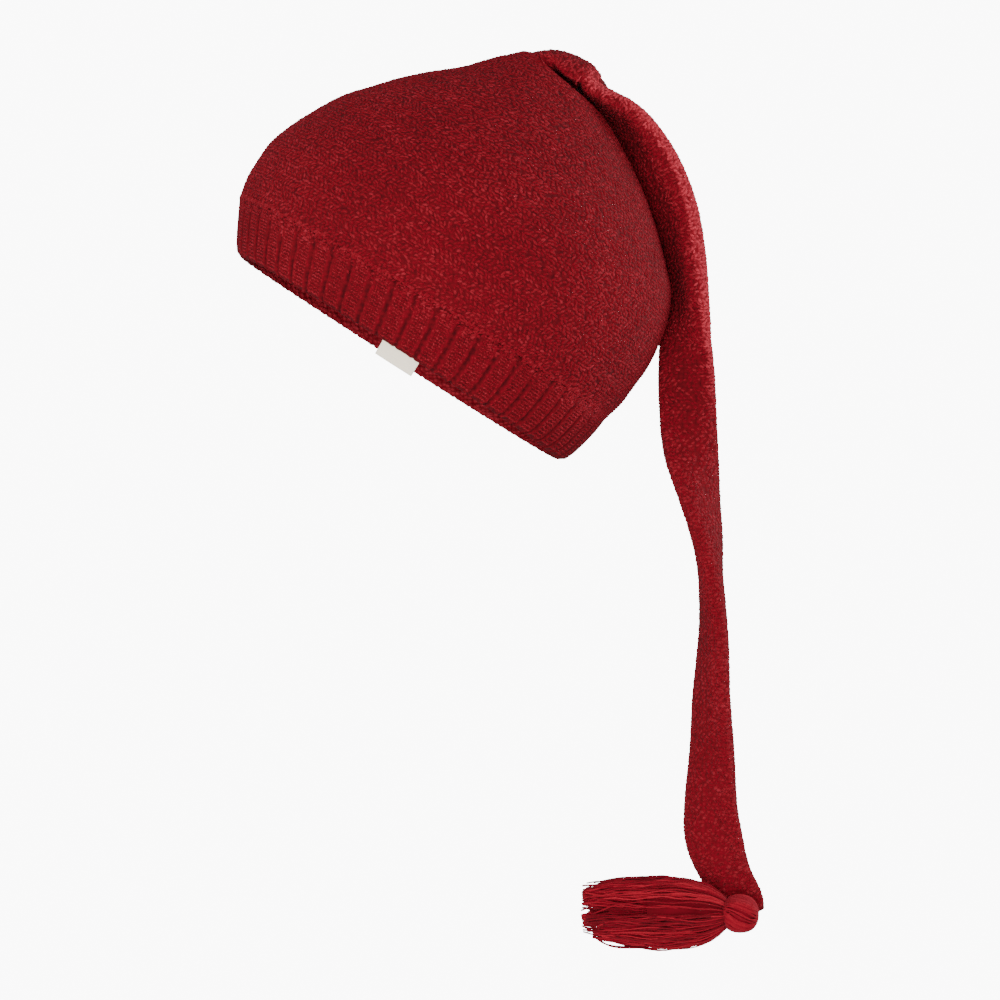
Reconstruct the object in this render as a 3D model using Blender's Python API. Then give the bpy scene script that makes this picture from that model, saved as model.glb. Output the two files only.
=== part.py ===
"""A dark red knitted santa hat: a ribbed band, a domed crown, a long folded tail and a yarn tassel.

The origin is the middle of the head opening. +X is to the back of the hat, +Y to the wearer's
right and +Z up, all in metres. The opening is tilted up at the front, as on a wearer's head.
"""

import math
import random

import bmesh
import bpy
from mathutils import Matrix, Vector

# Head opening, measured over the outside of the knit.
RIM_LENGTH = 0.200
RIM_WIDTH = 0.160
RIM_TILT = math.radians(31.0)

# Ribbed band.
BAND_HEIGHT = 0.025
BAND_WALL = 0.0030
BAND_SAG = 0.003
SAG_BEHIND = 0.65
RIB_COUNT = 56
RIB_RELIEF = 0.0009
RIB_SIDES = 4

# Crown, from the top of the band to the neck where the tail starts.
CROWN_HEIGHT = 0.1370
CROWN_WALL = 0.0028
GATHER_COUNT = 8
GATHER_DEPTH = 0.0016
GATHER_START = 0.55
GATHER_FULL = 0.90
CROWN_SIDES = 64

# Tail: a flattened tube, folded over at the neck, laid on the crown's back and then hanging.
TAIL_WIDTH = 0.030
TAIL_THICKNESS = 0.0125
TAIL_WALL = 0.0026
TAIL_DROP = 0.282
TAIL_SWAY = 0.0265
FOLD_REACH = 0.026
LYING_GAP = 0.0014
TAIL_SIDES = 20
TAIL_SQUARENESS = 0.80
TAIL_STEPS = 46
TAIL_HOLLOW = 0.96
TAIL_CROWDING = 0.45
TAIL_LOOK = 0.002

# Tassel: a ball of wound yarn with a fringe of locks laid to the front.
HEAD_WIDTH = 0.0178
HEAD_HEIGHT = 0.0198
FRINGE_LENGTH = 0.074
FRINGE_HEIGHT = 0.036
FRINGE_DEPTH = 0.024
LOCK_COUNT = 20
LOCK_THICKNESS = 0.0075
LOCK_SIDES = 6
LOCK_ROOT = 0.30
LOCK_RAGGED = 0.10
LOCK_SWAY = 0.03
BALL_SEGMENTS = 20
BALL_RINGS = 12
BALL_FORWARD = 0.18
BALL_BELOW = 0.20
BALL_PRESSED = 0.0006

# Label: a folded tab of woven tape, sewn inside the band and hanging out below its edge.
LABEL_WIDTH = 0.0224
LABEL_THICKNESS = 0.0012
LABEL_DROP = 0.0070
LABEL_ARCH = 0.0015
LABEL_INSIDE = 0.0130
LABEL_BACK = 0.004
LABEL_STEPS = 8

# Pieces that touch in the hat lie this far apart.
CLEARANCE = 0.0003

# Rows from the rim to the top of the band: shares of the band's height, and of the rim's half
# length and half width.
BAND_ROWS = (
    {"up": 0.00, "front": 0.985, "back": 0.975, "side": 0.985},
    {"up": 0.12, "front": 1.015, "back": 0.990, "side": 1.010},
    {"up": 0.60, "front": 1.070, "back": 1.020, "side": 1.060},
    {"up": 1.00, "front": 1.120, "back": 1.050, "side": 1.100},
)

# Rows from the band to the neck. Lean is the row's tilt to the back, in degrees.
CROWN_ROWS = (
    {"up": 0.000, "front": 1.12, "back": 1.05, "side": 1.10, "lean": 0},
    {"up": 0.075, "front": 1.14, "back": 1.08, "side": 1.13, "lean": 0},
    {"up": 0.150, "front": 1.14, "back": 1.09, "side": 1.14, "lean": 0},
    {"up": 0.235, "front": 1.13, "back": 1.10, "side": 1.13, "lean": 0},
    {"up": 0.335, "front": 1.08, "back": 1.09, "side": 1.10, "lean": 0},
    {"up": 0.435, "front": 1.01, "back": 1.06, "side": 1.04, "lean": 0},
    {"up": 0.520, "front": 0.94, "back": 1.01, "side": 0.96, "lean": 0},
    {"up": 0.595, "front": 0.85, "back": 0.92, "side": 0.88, "lean": 0},
    {"up": 0.670, "front": 0.76, "back": 0.82, "side": 0.78, "lean": 0},
    {"up": 0.755, "front": 0.64, "back": 0.69, "side": 0.66, "lean": 0},
    {"up": 0.835, "front": 0.51, "back": 0.54, "side": 0.53, "lean": 0},
    {"up": 0.895, "front": 0.43, "back": 0.42, "side": 0.42, "lean": 1},
    {"up": 0.945, "front": 0.36, "back": 0.30, "side": 0.33, "lean": 2},
    {"up": 0.980, "front": 0.30, "back": 0.17, "side": 0.25, "lean": 5},
    {"up": 1.000, "front": 0.250, "back": -0.07, "side": 0.19, "lean": 16},
)

# The fold: shares of the fold's reach past the neck, to the back and up. The hug is how far the
# tube's side edges bend down round the crown, as a share of its thickness.
FOLD_ROWS = (
    {"back": 0.00, "up": 0.00, "wide": 1.00, "thick": 1.26, "turn": 90, "hug": 0.00},
    {"back": 0.19, "up": 0.21, "wide": 1.05, "thick": 0.92, "turn": 90, "hug": 0.12},
    {"back": 0.50, "up": 0.26, "wide": 1.08, "thick": 0.88, "turn": 90, "hug": 0.28},
    {"back": 0.90, "up": 0.22, "wide": 1.08, "thick": 0.88, "turn": 90, "hug": 0.20},
)

# The stretch that lies on the crown: shares of the crown's height where it touches.
LYING_ROWS = (
    {"at": 0.985, "wide": 1.08, "thick": 0.86, "turn": 90, "hug": 0.12},
    {"at": 0.940, "wide": 1.03, "thick": 1.00, "turn": 70, "hug": 0.12},
    {"at": 0.885, "wide": 0.98, "thick": 1.10, "turn": 55, "hug": 0.22},
    {"at": 0.810, "wide": 0.95, "thick": 1.16, "turn": 46, "hug": 0.18},
    {"at": 0.720, "wide": 0.94, "thick": 1.18, "turn": 48, "hug": 0.16},
    {"at": 0.610, "wide": 0.93, "thick": 1.18, "turn": 57, "hug": 0.15},
    {"at": 0.520, "wide": 0.94, "thick": 1.15, "turn": 60, "hug": 0.14},
    {"at": 0.440, "wide": 0.96, "thick": 1.10, "turn": 48, "hug": 0.12},
    {"at": 0.365, "wide": 0.98, "thick": 1.04, "turn": 30, "hug": 0.08},
)

# The hanging stretch: shares of the drop and of the sway past the point where it leaves the crown.
HANGING_ROWS = (
    {"down": 0.085, "out": 0.01, "wide": 1.00, "thick": 1.00, "turn": 2},
    {"down": 0.175, "out": 0.11, "wide": 0.98, "thick": 1.00, "turn": -18},
    {"down": 0.264, "out": 0.26, "wide": 0.94, "thick": 1.00, "turn": -46},
    {"down": 0.345, "out": 0.40, "wide": 0.92, "thick": 1.00, "turn": -70},
    {"down": 0.414, "out": 0.46, "wide": 0.92, "thick": 1.00, "turn": -90},
    {"down": 0.510, "out": 0.49, "wide": 0.94, "thick": 1.00, "turn": -104},
    {"down": 0.630, "out": 0.46, "wide": 0.96, "thick": 1.00, "turn": -119},
    {"down": 0.725, "out": 0.43, "wide": 0.96, "thick": 1.00, "turn": -132},
    {"down": 0.828, "out": 0.40, "wide": 0.97, "thick": 0.98, "turn": -148},
    {"down": 0.888, "out": 0.47, "wide": 0.98, "thick": 0.92, "turn": -162},
    {"down": 0.947, "out": 0.70, "wide": 0.91, "thick": 0.80, "turn": -167},
    {"down": 0.985, "out": 0.97, "wide": 0.80, "thick": 0.62, "turn": -170},
    {"down": 1.000, "out": 1.08, "wide": 0.58, "thick": 0.44, "turn": -172},
)

# A lock from its root in the ball to its tip: shares of the fringe's length, of its place in the
# spread fringe and of the lock's thickness.
LOCK_ROWS = (
    {"out": 0.00, "spread": 0.20, "size": 0.30},
    {"out": 0.14, "spread": 0.60, "size": 0.80},
    {"out": 0.32, "spread": 0.78, "size": 1.00},
    {"out": 0.55, "spread": 0.84, "size": 1.05},
    {"out": 0.78, "spread": 0.80, "size": 0.90},
    {"out": 1.00, "spread": 0.74, "size": 0.34},
)

# Finishes: the knit, the brighter yarn of the tassel and the label's tape.
KNIT = {"colour": (0.262, 0.008, 0.012, 1.0), "roughness": 0.92}
YARN = {"colour": (0.352, 0.010, 0.016, 1.0), "roughness": 0.85}
TAPE = {"colour": (0.790, 0.730, 0.650, 1.0), "roughness": 0.75}

UP = Vector((math.sin(RIM_TILT), 0.0, math.cos(RIM_TILT)))
BACK = Vector((math.cos(RIM_TILT), 0.0, -math.sin(RIM_TILT)))
SIDE = Vector((0.0, 1.0, 0.0))


def clear_scene():
    for item in list(bpy.data.objects):
        bpy.data.objects.remove(item)


def add_object(name, bm, finish):
    """Closes off a mesh as one named object with its own material."""
    bmesh.ops.recalc_face_normals(bm, faces=bm.faces[:])
    mesh = bpy.data.meshes.new(name)
    bm.to_mesh(mesh)
    bm.free()
    mesh.shade_smooth()
    material = bpy.data.materials.new(name + "_material")
    material.use_nodes = True
    shader = material.node_tree.nodes["Principled BSDF"]
    shader.inputs["Base Color"].default_value = finish["colour"]
    shader.inputs["Roughness"].default_value = finish["roughness"]
    shader.inputs["Metallic"].default_value = 0.0
    mesh.materials.append(material)
    item = bpy.data.objects.new(name, mesh)
    bpy.context.scene.collection.objects.link(item)
    return item


def blend_rows(rows, key, value):
    """The row of a table at any value of its key column, on a smooth curve through the rows."""
    keys = [row[key] for row in rows]
    last = len(rows) - 1
    start = max(i for i in range(last) if i == 0 or keys[i] <= value)
    span = keys[start + 1] - keys[start]
    t = min(max((value - keys[start]) / span, 0.0), 1.0)
    found = {}
    for name in rows[0]:
        values = [row[name] for row in rows]
        slopes = []
        for i in (start, start + 1):
            low, high = max(i - 1, 0), min(i + 1, last)
            slopes.append((values[high] - values[low]) / (keys[high] - keys[low]))
        found[name] = (
            values[start] * (1 + 2 * t) * (1 - t) ** 2
            + values[start + 1] * t * t * (3 - 2 * t)
            + span * (slopes[0] * t * (1 - t) ** 2 - slopes[1] * t * t * (1 - t))
        )
    return found


def ramp(value, start, end):
    return min(max((value - start) / (end - start), 0.0), 1.0)


def oval_point(row, rise, angle):
    """A point of the hat's outside: the row's oval, this high over the rim, this far round."""
    front = row["front"] * RIM_LENGTH / 2
    back = row["back"] * RIM_LENGTH / 2
    middle = (back - front) / 2
    half = (back + front) / 2
    lean = math.radians(row.get("lean", 0.0))
    along = math.cos(angle) * half
    across = math.sin(angle) * row["side"] * RIM_WIDTH / 2
    return (
        BACK * (middle + along * math.cos(lean))
        + UP * (rise - along * math.sin(lean))
        + SIDE * across
    )


def band_point(share, angle):
    """The band's outside. Its edge sags a little, most at the sides behind the middle."""
    row = blend_rows(BAND_ROWS, "up", share)
    behind = math.cos(abs(angle_from_back(angle)) - math.pi / 4)
    sag = max(1.0 - SAG_BEHIND + SAG_BEHIND * behind, 0.0)
    return oval_point(row, share * BAND_HEIGHT - BAND_SAG * sag * (1.0 - share) ** 2, angle)


def crown_point(share, angle):
    """The crown's outside, with gathers that grow towards the neck."""
    row = blend_rows(CROWN_ROWS, "up", share)
    rise = BAND_HEIGHT + share * CROWN_HEIGHT
    place = oval_point(row, rise, angle)
    middle = oval_point(row, rise, 0.0).lerp(oval_point(row, rise, math.pi), 0.5)
    grown = ramp(share, GATHER_START, GATHER_FULL) - ramp(share, GATHER_FULL, 1.0)
    wave = 0.5 + 0.5 * math.cos(GATHER_COUNT * angle + math.sin(2 * angle))
    return place + (middle - place).normalized() * (GATHER_DEPTH * grown * wave)


def angle_from_back(angle):
    return math.remainder(angle, 2 * math.pi)


def row_axis(row):
    lean = math.radians(row.get("lean", 0.0))
    return UP * math.cos(lean) + BACK * math.sin(lean)


def outward(point_at, share, angle, step=0.01):
    """The unit normal of the band or the crown, pointing out of the hat."""
    low, high = max(share - step, 0.0), min(share + step, 1.0)
    along = point_at(high, angle) - point_at(low, angle)
    around = point_at(share, angle + step) - point_at(share, angle - step)
    return around.cross(along).normalized()


def across_wall(point_at, rows, share, angle):
    """The way from the outside to the inside: square to the knit, but level at a cut edge."""
    out = outward(point_at, share, angle)
    if share in (0.0, 1.0):
        axis = row_axis(rows[int(share) * (len(rows) - 1)])
        out = (out - axis * out.dot(axis)).normalized()
    return -out


def loft(sides, sections, closed):
    """A skin of rings, each grown from the last: a closed one ends on its first, others have ends."""
    bm = bmesh.new()
    side_of = bm.verts.layers.int.new("side")
    ring = bmesh.ops.create_circle(bm, segments=sides, radius=1.0)["verts"]
    for index, vert in enumerate(ring):
        vert[side_of] = index
        vert.co = sections[0](index)
    first = bm.edges[:]
    edges = first
    for section in sections[1:]:
        grown = bmesh.ops.extrude_edge_only(bm, edges=edges)["geom"]
        fresh = {item for item in grown if isinstance(item, bmesh.types.BMVert)}
        for vert in fresh:
            vert.co = section(vert[side_of])
        edges = [
            item
            for item in grown
            if isinstance(item, bmesh.types.BMEdge) and all(v in fresh for v in item.verts)
        ]
    if closed:
        bmesh.ops.bridge_loops(bm, edges=first + edges)
    else:
        bmesh.ops.holes_fill(bm, edges=bm.edges[:], sides=0)
    return bm


def turn_of(index, sides):
    return 2 * math.pi * index / sides


def build_band():
    """Ribs stand proud of the groove between them, on the outside and half as much inside."""
    sides = RIB_COUNT * RIB_SIDES
    outer_shares = (0.0, 0.12, 0.45, 0.80, 1.0)
    inner_shares = (1.0, 0.50, 0.0)
    rib_profile = (0.0, 1.0, 1.0, 0.0)

    def section(share, depth, relief):
        def place(index):
            angle = turn_of(index, sides)
            inwards = across_wall(band_point, BAND_ROWS, share, angle)
            rib = rib_profile[index % RIB_SIDES] * relief
            top = UP * (CLEARANCE / 2 if share == 1.0 else 0.0)
            return band_point(share, angle) + inwards * (depth - rib) - top

        return place

    sections = [section(share, RIB_RELIEF, RIB_RELIEF) for share in outer_shares]
    sections += [section(share, BAND_WALL, -RIB_RELIEF / 3) for share in inner_shares]
    bm = loft(sides, sections, closed=True)
    return add_object("ribbed_band", bm, KNIT)


def build_crown():
    outer_shares = (0, 0.06, 0.15, 0.25, 0.35, 0.44, 0.52, 0.6, 0.68, 0.76, 0.83, 0.89, 0.93, 0.965, 1)
    inner_shares = (1.0, 0.965, 0.93, 0.89, 0.83, 0.76, 0.68, 0.6, 0.5, 0.38, 0.24, 0.1, 0.0)

    def section(share, depth):
        def place(index):
            angle = turn_of(index, CROWN_SIDES)
            inwards = across_wall(crown_point, CROWN_ROWS, share, angle)
            foot = UP * (CLEARANCE / 2 if share == 0.0 else 0.0)
            return crown_point(share, angle) + inwards * depth + foot

        return place

    sections = [section(share, 0.0) for share in outer_shares]
    sections += [section(share, CROWN_WALL) for share in inner_shares]
    bm = loft(CROWN_SIDES, sections, closed=True)
    return add_object("crown", bm, KNIT)


def flat_oval(angle, half_wide, half_thick):
    """A point of the flattened tube's section: an oval with squarer shoulders."""
    c, s = math.cos(angle), math.sin(angle)
    across = math.copysign(abs(c) ** TAIL_SQUARENESS, c) * half_wide
    through = math.copysign(abs(s) ** TAIL_SQUARENESS, s) * half_thick
    return across, through


def half_depth(row):
    """How far the turned tube reaches from its middle towards what it lies on."""
    turn = math.radians(row["turn"])
    reach = 0.0
    for index in range(TAIL_SIDES):
        across, through = flat_oval(
            turn_of(index, TAIL_SIDES), row["wide"] * TAIL_WIDTH / 2, row["thick"] * TAIL_THICKNESS / 2
        )
        reach = max(reach, across * math.cos(turn) - through * math.sin(turn))
    return reach


def tail_route():
    """The tail's rows with a place each, from the neck to the tip."""
    top = CROWN_ROWS[-1]
    rise = BAND_HEIGHT + CROWN_HEIGHT
    neck_axis = row_axis(top)
    neck = oval_point(top, rise, 0.0).lerp(oval_point(top, rise, math.pi), 0.5)
    neck += neck_axis * CLEARANCE
    route = []
    for row in FOLD_ROWS:
        place = neck + BACK * (row["back"] * FOLD_REACH) + UP * (row["up"] * FOLD_REACH)
        route.append(dict(row, place=place))
    for row in LYING_ROWS:
        foot = crown_point(row["at"], 0.0)
        out = outward(crown_point, row["at"], 0.0)
        route.append(dict(row, place=foot + out * (half_depth(row) + LYING_GAP)))
    leave = route[-1]["place"].copy()
    for row in HANGING_ROWS:
        drop = Vector((row["out"] * TAIL_SWAY, 0.0, -row["down"] * TAIL_DROP))
        route.append(dict(row, place=leave + drop))
    return route, neck_axis


def smooth_route():
    """Evenly spaced stations down the tail: place, direction, width, thickness and turn."""
    route, neck_axis = tail_route()
    gone = [0.0]
    for before, after in zip(route, route[1:]):
        gone.append(gone[-1] + (after["place"] - before["place"]).length)
    rows = []
    for distance, row in zip(gone, route):
        rows.append(
            {
                "gone": distance / gone[-1],
                "x": row["place"].x,
                "z": row["place"].z,
                "wide": row["wide"],
                "thick": row["thick"],
                "turn": row["turn"],
                "hug": row.get("hug", 0.0),
            }
        )
    stations = []
    for index in range(TAIL_STEPS + 1):
        even = index / TAIL_STEPS
        share = even * (1.0 - TAIL_CROWDING * (1.0 - even))
        row = blend_rows(rows, "gone", share)
        low = blend_rows(rows, "gone", max(share - TAIL_LOOK, 0.0))
        high = blend_rows(rows, "gone", min(share + TAIL_LOOK, 1.0))
        ahead = Vector((high["x"] - low["x"], 0.0, high["z"] - low["z"])).normalized()
        if index == 0:
            ahead = neck_axis
        stations.append(dict(row, share=share, ahead=ahead))
    return stations


def tail_section(station, shrink):
    """A ring of the flattened tube, turned about its route and drawn in by this wall."""
    ahead = station["ahead"]
    flat = SIDE.cross(ahead)
    turn = math.radians(station["turn"])
    wide_axis = flat * math.cos(turn) + SIDE * math.sin(turn)
    thick_axis = ahead.cross(wide_axis)
    half_wide = station["wide"] * TAIL_WIDTH / 2 - shrink
    half_thick = station["thick"] * TAIL_THICKNESS / 2 - shrink
    place = Vector((station["x"], 0.0, station["z"]))
    hug = station["hug"] * TAIL_THICKNESS

    def point(index):
        across, through = flat_oval(turn_of(index, TAIL_SIDES), half_wide, half_thick)
        spot = place + wide_axis * across + thick_axis * through
        return spot + flat * (hug * (spot.y / (TAIL_WIDTH / 2)) ** 2)

    return point


def build_tail(stations):
    outer = [tail_section(station, 0.0) for station in stations]
    hollow = [station for station in stations if station["share"] < TAIL_HOLLOW]
    inner = [tail_section(station, TAIL_WALL) for station in hollow[::2]]
    bm = loft(TAIL_SIDES, list(reversed(inner)) + outer, closed=False)
    return add_object("tail", bm, KNIT)


def lock_sections(number, head, dice):
    """Rings along one lock: out of the head, apart from its neighbours, and in again at its tip."""
    golden_angle = math.pi * (3.0 - math.sqrt(5.0))
    reach = math.sqrt((number + 0.5) / LOCK_COUNT)
    angle = number * golden_angle
    across = Vector((0.0, math.cos(angle) * FRINGE_DEPTH, math.sin(angle) * FRINGE_HEIGHT)) / 2
    start = head - Vector((LOCK_ROOT * HEAD_WIDTH, 0.0, 0.0))
    length = FRINGE_LENGTH * dice.uniform(1.0 - LOCK_RAGGED, 1.0)
    sections = []
    for row in LOCK_ROWS:
        sway = Vector((0.0, dice.uniform(-1, 1), dice.uniform(-1, 1))) * (LOCK_SWAY * FRINGE_HEIGHT)
        along = Vector((-row["out"] * length, 0.0, 0.0))
        place = start + along + across * (reach * row["spread"]) + sway * row["out"]
        sections.append(lock_ring(place, row["size"] * LOCK_THICKNESS / 2))
    return sections


def lock_ring(place, radius):
    def point(index):
        angle = turn_of(index, LOCK_SIDES)
        return place + Vector((0.0, math.cos(angle), math.sin(angle))) * radius

    return point


def build_tassel(tip):
    """The locks are joined to the ball by a union, so the tassel is one body."""
    tip_place = Vector((tip["x"], 0.0, tip["z"]))
    front = tip["thick"] * TAIL_THICKNESS / 2 + CLEARANCE + HEAD_WIDTH / 2 - BALL_PRESSED
    head = tip_place + Vector((-BALL_FORWARD * HEAD_WIDTH, -front, -BALL_BELOW * HEAD_HEIGHT))
    bm = bmesh.new()
    place = Matrix.Translation(head) @ Matrix.Diagonal((HEAD_WIDTH, HEAD_WIDTH, HEAD_HEIGHT, 1.0))
    bmesh.ops.create_uvsphere(
        bm, u_segments=BALL_SEGMENTS, v_segments=BALL_RINGS, radius=0.5, matrix=place
    )
    tassel = add_object("tassel", bm, YARN)
    dice = random.Random(7)
    locks = bpy.data.collections.new("locks")
    bpy.context.scene.collection.children.link(locks)
    for number in range(LOCK_COUNT):
        lock_mesh = loft(LOCK_SIDES, lock_sections(number, head, dice), closed=False)
        lock = add_object(f"lock_{number}", lock_mesh, YARN)
        bpy.context.scene.collection.objects.unlink(lock)
        locks.objects.link(lock)
        lock.hide_render = True
        lock.display_type = "WIRE"
    joined = tassel.modifiers.new("locks", "BOOLEAN")
    joined.operation = "UNION"
    joined.operand_type = "COLLECTION"
    joined.collection = locks
    return tassel


def build_label():
    """Two layers of tape folded at the bottom, held flat against the inside of the band."""
    angle = math.asin(LABEL_BACK / (RIM_LENGTH / 2)) - math.pi / 2
    half_angle = LABEL_WIDTH / RIM_LENGTH
    rows = (
        {"up": LABEL_INSIDE, "down": 0, "deep": 0},
        {"up": 0.0, "down": 0, "deep": 0},
        {"up": 0.0, "down": 1, "deep": 0},
        {"up": 0.0, "down": 1, "deep": 1},
        {"up": 0.0, "down": 0, "deep": 1},
        {"up": LABEL_INSIDE, "down": 0, "deep": 1},
    )

    def place(index, turn):
        row = rows[index]
        share = row["up"] / BAND_HEIGHT
        inside = BAND_WALL + RIB_RELIEF / 3 + CLEARANCE + row["deep"] * LABEL_THICKNESS
        inwards = across_wall(band_point, BAND_ROWS, share, turn)
        bow = LABEL_ARCH * ((turn - angle) / half_angle) ** 2
        return band_point(share, turn) - UP * (row["down"] * (LABEL_DROP - bow)) + inwards * inside

    def section(turn):
        return lambda index: place(index, turn)

    turns = [angle + half_angle * (2 * step / LABEL_STEPS - 1) for step in range(LABEL_STEPS + 1)]
    bm = loft(len(rows), [section(turn) for turn in turns], closed=False)
    return add_object("label", bm, TAPE)


clear_scene()
build_band()
build_crown()
tail_stations = smooth_route()
build_tail(tail_stations)
build_tassel(tail_stations[-1])
build_label()
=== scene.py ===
import math

import bmesh
import bpy
import numpy as np
from mathutils import Matrix, Vector


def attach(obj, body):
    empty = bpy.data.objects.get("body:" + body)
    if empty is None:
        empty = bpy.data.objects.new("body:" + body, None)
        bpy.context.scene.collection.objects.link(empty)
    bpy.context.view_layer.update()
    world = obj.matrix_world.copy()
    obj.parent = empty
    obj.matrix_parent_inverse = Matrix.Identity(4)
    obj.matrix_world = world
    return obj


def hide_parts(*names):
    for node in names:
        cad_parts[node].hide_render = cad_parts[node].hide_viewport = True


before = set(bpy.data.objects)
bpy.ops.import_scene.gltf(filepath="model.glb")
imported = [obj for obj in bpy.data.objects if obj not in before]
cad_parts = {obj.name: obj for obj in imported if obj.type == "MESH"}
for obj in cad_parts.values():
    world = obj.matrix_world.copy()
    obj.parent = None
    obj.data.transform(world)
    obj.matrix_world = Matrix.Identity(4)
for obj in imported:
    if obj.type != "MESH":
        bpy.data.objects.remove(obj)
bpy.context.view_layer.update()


# Ribbed band: wool, knitted first from the edge up, 56 broad ribs that draw in round the head.
# Each rib is a flat strip of fine slanting stitches with a smooth ridge along each side of its groove.
# Its edge is the cast-on, a plain rolled edge that hangs a little lower at the back.
RIM_LENGTH = 0.200
RIM_WIDTH = 0.160
RIM_TILT = math.radians(31.0)
BAND_HEIGHT = 0.025
BAND_WALL = 0.0030
BAND_SAG = 0.0064
RIB_COUNT = 56
RIB_RELIEF = 0.0009
BAND_COURSES = 19
SKIN_DEPTH = 0.0006
JOIN_GAP = 0.00015
STITCH_LIFT = -0.0006
# The skin under the stitches is a little darker than they are: painted shade in the gaps between them.
SKIN_PAINTED_SHADE_TONE = 0.47
STITCH_TONE = 0.52
# The inside of the band is made paler: painted light that lifts the shade inside the hat.
INSIDE_PAINTED_LIGHT_TONE = 0.85
UP = np.array([math.sin(RIM_TILT), 0.0, math.cos(RIM_TILT)])
BACK = np.array([math.cos(RIM_TILT), 0.0, -math.sin(RIM_TILT)])
SIDE = np.array([0.0, 1.0, 0.0])
BAND_ROWS = (
    {"up": 0.00, "front": 0.955, "back": 0.942, "side": 0.970},
    {"up": 0.12, "front": 1.000, "back": 0.988, "side": 1.005},
    {"up": 0.60, "front": 1.07, "back": 1.034, "side": 1.06},
    {"up": 1.00, "front": 1.12, "back": 1.05, "side": 1.10},
)
BAND_SKIN = (
    {"up": 1.00, "deep": SKIN_DEPTH},
    {"up": 0.80, "deep": SKIN_DEPTH},
    {"up": 0.60, "deep": SKIN_DEPTH},
    {"up": 0.40, "deep": SKIN_DEPTH},
    {"up": 0.22, "deep": SKIN_DEPTH},
    {"up": 0.09, "deep": SKIN_DEPTH},
    {"up": 0.02, "deep": 0.0010},
    {"up": 0.00, "deep": 0.0017},
    {"up": 0.01, "deep": 0.0025},
    {"up": 0.08, "deep": BAND_WALL},
    {"up": 0.30, "deep": BAND_WALL},
    {"up": 0.60, "deep": BAND_WALL},
    {"up": 1.00, "deep": BAND_WALL},
)
RIB_PROFILE = (1.0, 0.1, -0.6, -0.3, 0.0, 0.1, 0.1, 0.1, 0.1, 0.1, 0.0, -0.3, -0.6, 0.1)
RIB_STITCHES = tuple({"across": 0.22 + 0.112 * leg, "tilt": 30.0 if leg % 2 else -30.0} for leg in range(6))
WOOL_TONES = ((0.0, (0.038, 0.0003, 0.0020)), (0.5, (0.138, 0.0011, 0.0057)), (1.0, (0.400, 0.0290, 0.0450)))


def ramp(value, start, end):
    """0 up to start and 1 from end on, and straight between them."""
    return np.clip((value - start) / (end - start), 0.0, 1.0)


def blend_rows(rows, key, value):
    """The row of a table at any value of its key column, on a smooth curve through the rows."""
    keys = [row[key] for row in rows]
    last = len(rows) - 1
    start = max(i for i in range(last) if i == 0 or keys[i] <= value)
    span = keys[start + 1] - keys[start]
    t = min(max((value - keys[start]) / span, 0.0), 1.0)
    found = {}
    for name in rows[0]:
        values = [row[name] for row in rows]
        slopes = []
        for i in (start, start + 1):
            low, high = max(i - 1, 0), min(i + 1, last)
            slopes.append((values[high] - values[low]) / (keys[high] - keys[low]))
        found[name] = (
            values[start] * (1 + 2 * t) * (1 - t) ** 2
            + values[start + 1] * t * t * (3 - 2 * t)
            + span * (slopes[0] * t * (1 - t) ** 2 - slopes[1] * t * t * (1 - t))
        )
    return found


def unit(ways):
    """Directions at length 1."""
    return ways / np.linalg.norm(ways, axis=-1, keepdims=True)


def oval_ring(row, rise, angles):
    """Points round the hat's outside: the row's oval, this high over the rim."""
    front = row["front"] * RIM_LENGTH / 2
    back = row["back"] * RIM_LENGTH / 2
    lean = math.radians(row.get("lean", 0.0))
    along = np.cos(angles) * (back + front) / 2
    across = np.sin(angles) * row["side"] * RIM_WIDTH / 2
    return (
        np.outer((back - front) / 2 + along * math.cos(lean), BACK)
        + np.outer(rise - along * math.sin(lean), UP)
        + np.outer(across, SIDE)
    )


def band_ring(share, angles):
    """The band's outside over the tops of its ribs. Its edge hangs lower towards the back."""
    row = blend_rows(BAND_ROWS, "up", share)
    from_back = np.abs(np.remainder(angles + math.pi, 2 * math.pi) - math.pi)
    sag = 0.50 + 0.385 * np.cos(from_back) + 0.115 * np.cos(from_back) ** 2
    return oval_ring(row, share * BAND_HEIGHT - BAND_SAG * sag * (1.0 - share) ** 2, angles)


def knit_net(ring_at, rows, columns):
    """An even net of points over a knit, from its foot up and once round, with the ways there."""
    angles = np.arange(columns) * (2 * math.pi / columns)
    points = np.array([ring_at(share, angles) for share in np.linspace(0, 1, rows)])
    around = np.roll(points, -1, axis=1) - np.roll(points, 1, axis=1)
    along = np.gradient(points, axis=0)
    out = unit(np.cross(around, along))
    if np.sum(out * (points - points.mean(axis=1, keepdims=True))) < 0.0:
        out = -out
    return {"points": points, "around": unit(around), "out": out}


def on_net(net, up, turn):
    """Place, way round, way up and way out at these shares of the height and of the turn."""
    rows, columns = net["points"].shape[:2]
    row = np.clip(up, 0.0, 1.0) * (rows - 1)
    low = np.minimum(row.astype(int), rows - 2)
    over = (row - low)[:, None]
    column = np.mod(turn, 1.0) * columns
    left = column.astype(int) % columns
    right = (left + 1) % columns
    beside = (column - np.floor(column))[:, None]

    def mix(values):
        bottom = values[low, left] * (1 - beside) + values[low, right] * beside
        top = values[low + 1, left] * (1 - beside) + values[low + 1, right] * beside
        return bottom * (1 - over) + top * over

    out = unit(mix(net["out"]))
    around = mix(net["around"])
    around = unit(around - out * np.sum(around * out, axis=1, keepdims=True))
    return mix(net["points"]), around, np.cross(out, around), out


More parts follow.
